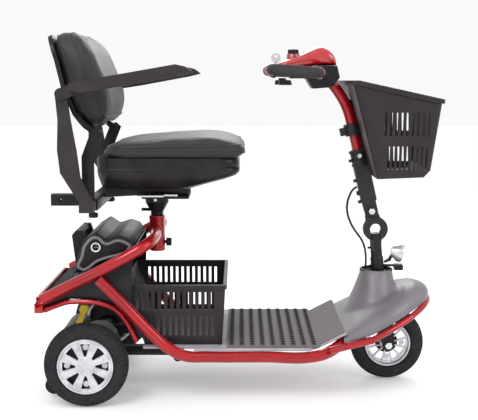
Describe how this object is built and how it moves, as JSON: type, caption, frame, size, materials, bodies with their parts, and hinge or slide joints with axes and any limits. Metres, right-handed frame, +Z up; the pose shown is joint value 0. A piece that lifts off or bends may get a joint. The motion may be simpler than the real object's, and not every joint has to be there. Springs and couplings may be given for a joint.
{
  "type": "mobility scooter",
  "caption": "Electric travel scooter with a swivel seat, red tube frame, low deck, tiller steering, shopping baskets and lift-up arms.",
  "frame": {"origin": "on the floor, under the middle of the scooter", "axes": "+X forward, towards the front wheel; +Y to the rider's left; +Z up"},
  "size_m": [0.994, 0.522, 0.903],
  "materials": {
    "red_paint": "gloss metallic",
    "red_plastic": "gloss",
    "black_metal": "satin",
    "black_plastic": "satin, lightly grained",
    "grey_plastic": "satin",
    "mat_rubber": "matt",
    "cast_alloy": "silver lacquer",
    "steel": "bright",
    "lamp_chrome": "mirror",
    "yellow_plastic": "gloss",
    "tyre": "matt",
    "vinyl": "soft sheen",
    "arm_foam": "satin"
  },
  "bodies": {
    "root": {"floor_pan": "grey_plastic", "floor_mat": "mat_rubber", "side_rail_right": "red_paint", "side_rail_left": "red_paint", "seat_hoop": "red_paint", "chassis_frame": "black_metal", "post_socket": "red_paint", "transaxle": "cast_alloy", "battery_case": "black_plastic", "battery_handle": "black_plastic", "controller_box": "black_plastic", "rear_shroud": "black_plastic", "shroud_trim": "red_plastic", "rear_basket": "black_plastic", "front_shroud": "grey_plastic", "front_bumper": "red_plastic", "head_tube": "black_metal", "head_bearings": "steel"},
    "clamp_screw": {"post_clamp": "black_plastic"},
    "freewheel": {"freewheel_lever": "yellow_plastic"},
    "roller_right": {"anti_tip_roller_right": "mat_rubber"},
    "roller_left": {"anti_tip_roller_left": "mat_rubber"},
    "wheel_right": {"rear_rim_right": "cast_alloy", "rear_tyre_right": "tyre"},
    "wheel_left": {"rear_rim_left": "cast_alloy", "rear_tyre_left": "tyre"},
    "steering": {"steering_fork": "black_metal", "front_axle": "steel", "tilt_knuckle": "black_metal", "tilt_bolt": "steel", "headlight": "lamp_chrome", "horn_box": "black_plastic", "wiring_loom": "mat_rubber"},
    "front_wheel": {"front_rim": "cast_alloy", "front_tyre": "tyre"},
    "tiller": {"tiller_casting": "black_metal", "tiller_tube": "red_paint", "control_housing": "black_plastic", "control_console": "red_plastic", "handlebar": "black_metal", "hand_grips": "mat_rubber", "front_basket": "black_plastic", "basket_bracket": "black_metal"},
    "throttle": {"throttle_lever": "black_plastic"},
    "dial": {"speed_dial": "black_plastic"},
    "key": {"ignition_key": "steel"},
    "horn": {"horn_button": "yellow_plastic"},
    "seat_column": {"seat_post": "black_metal"},
    "seat": {"swivel_plate": "black_metal", "seat_frame": "black_metal", "clamp_knobs": "black_plastic", "seat_pan": "black_plastic", "seat_cushion": "vinyl"},
    "swivel_latch": {"swivel_lever": "steel"},
    "backrest": {"back_shell": "black_plastic", "back_cushion": "vinyl"},
    "arm_right": {"arm_post_right": "black_metal"},
    "arm_left": {"arm_post_left": "black_metal"},
    "pad_right": {"arm_pad_right": "arm_foam"},
    "pad_left": {"arm_pad_left": "arm_foam"}
  },
  "joints": [
    {"name": "rear_right_spin", "type": "hinge", "parent": "root", "child": "wheel_right", "pos_m": [-0.368, -0.229, 0.102], "axis": [0, 1, 0], "continuous": true},
    {"name": "rear_left_spin", "type": "hinge", "parent": "root", "child": "wheel_left", "pos_m": [-0.368, 0.229, 0.102], "axis": [0, 1, 0], "continuous": true},
    {"name": "roller_right_spin", "type": "hinge", "parent": "root", "child": "roller_right", "pos_m": [-0.458, -0.165, 0.032], "axis": [0, 1, 0], "continuous": true},
    {"name": "roller_left_spin", "type": "hinge", "parent": "root", "child": "roller_left", "pos_m": [-0.458, 0.165, 0.032], "axis": [0, 1, 0], "continuous": true},
    {"name": "steer", "type": "hinge", "parent": "root", "child": "steering", "pos_m": [0.38, 0, 0.096], "axis": [-0.0872, 0, 0.9962], "range_deg": [-40, 40]},
    {"name": "front_wheel_spin", "type": "hinge", "parent": "steering", "child": "front_wheel", "pos_m": [0.39, 0, 0.096], "axis": [0, 1, 0], "continuous": true},
    {"name": "tiller_tilt", "type": "hinge", "parent": "steering", "child": "tiller", "pos_m": [0.343, 0, 0.446], "axis": [0, -1, 0], "range_deg": [-25, 0]},
    {"name": "throttle_rock", "type": "hinge", "parent": "tiller", "child": "throttle", "pos_m": [0.11, 0, 0.779], "axis": [0, 0, 1], "range_deg": [-12, 12], "stiffness_Nm_per_rad": 0.6},
    {"name": "dial_turn", "type": "hinge", "parent": "tiller", "child": "dial", "pos_m": [0.138, 0, 0.845], "axis": [0, 0, 1], "range_deg": [-270, 0]},
    {"name": "key_turn", "type": "hinge", "parent": "tiller", "child": "key", "pos_m": [0.094, 0, 0.82], "axis": [0, 0, 1], "range_deg": [-90, 0]},
    {"name": "horn_press", "type": "slide", "parent": "tiller", "child": "horn", "axis": [0, 0, 1], "range_m": [-0.003, 0], "stiffness_N_per_m": 300, "springref_m": 0.002},
    {"name": "seat_height", "type": "slide", "parent": "root", "child": "seat_column", "axis": [0, 0, 1], "range_m": [0, 0.05]},
    {"name": "clamp_turn", "type": "hinge", "parent": "root", "child": "clamp_screw", "pos_m": [-0.213, 0, 0.364], "axis": [1, 0, 0], "continuous": true},
    {"name": "seat_swivel", "type": "hinge", "parent": "seat_column", "child": "seat", "pos_m": [-0.213, 0, 0.48], "axis": [0, 0, 1], "range_deg": [-90, 90]},
    {"name": "latch_pull", "type": "hinge", "parent": "seat", "child": "swivel_latch", "pos_m": [-0.213, -0.051, 0.49], "axis": [0, 0, 1], "range_deg": [-15, 0], "stiffness_Nm_per_rad": 0.6},
    {"name": "back_fold", "type": "hinge", "parent": "seat", "child": "backrest", "pos_m": [-0.34, 0, 0.652], "axis": [0, 1, 0], "range_deg": [0, 75]},
    {"name": "arm_width_right", "type": "slide", "parent": "seat", "child": "arm_right", "axis": [0, -1, 0], "range_m": [0, 0.025]},
    {"name": "arm_width_left", "type": "slide", "parent": "seat", "child": "arm_left", "axis": [0, 1, 0], "range_m": [0, 0.025]},
    {"name": "arm_lift_right", "type": "hinge", "parent": "arm_right", "child": "pad_right", "pos_m": [-0.412, -0.238, 0.75], "axis": [0, -1, 0], "range_deg": [0, 85]},
    {"name": "arm_lift_left", "type": "hinge", "parent": "arm_left", "child": "pad_left", "pos_m": [-0.412, 0.238, 0.75], "axis": [0, -1, 0], "range_deg": [0, 85]},
    {"name": "freewheel_shift", "type": "hinge", "parent": "root", "child": "freewheel", "pos_m": [-0.408, -0.143, 0.154], "axis": [0, 1, 0], "range_deg": [-35, 0]}
  ]
}
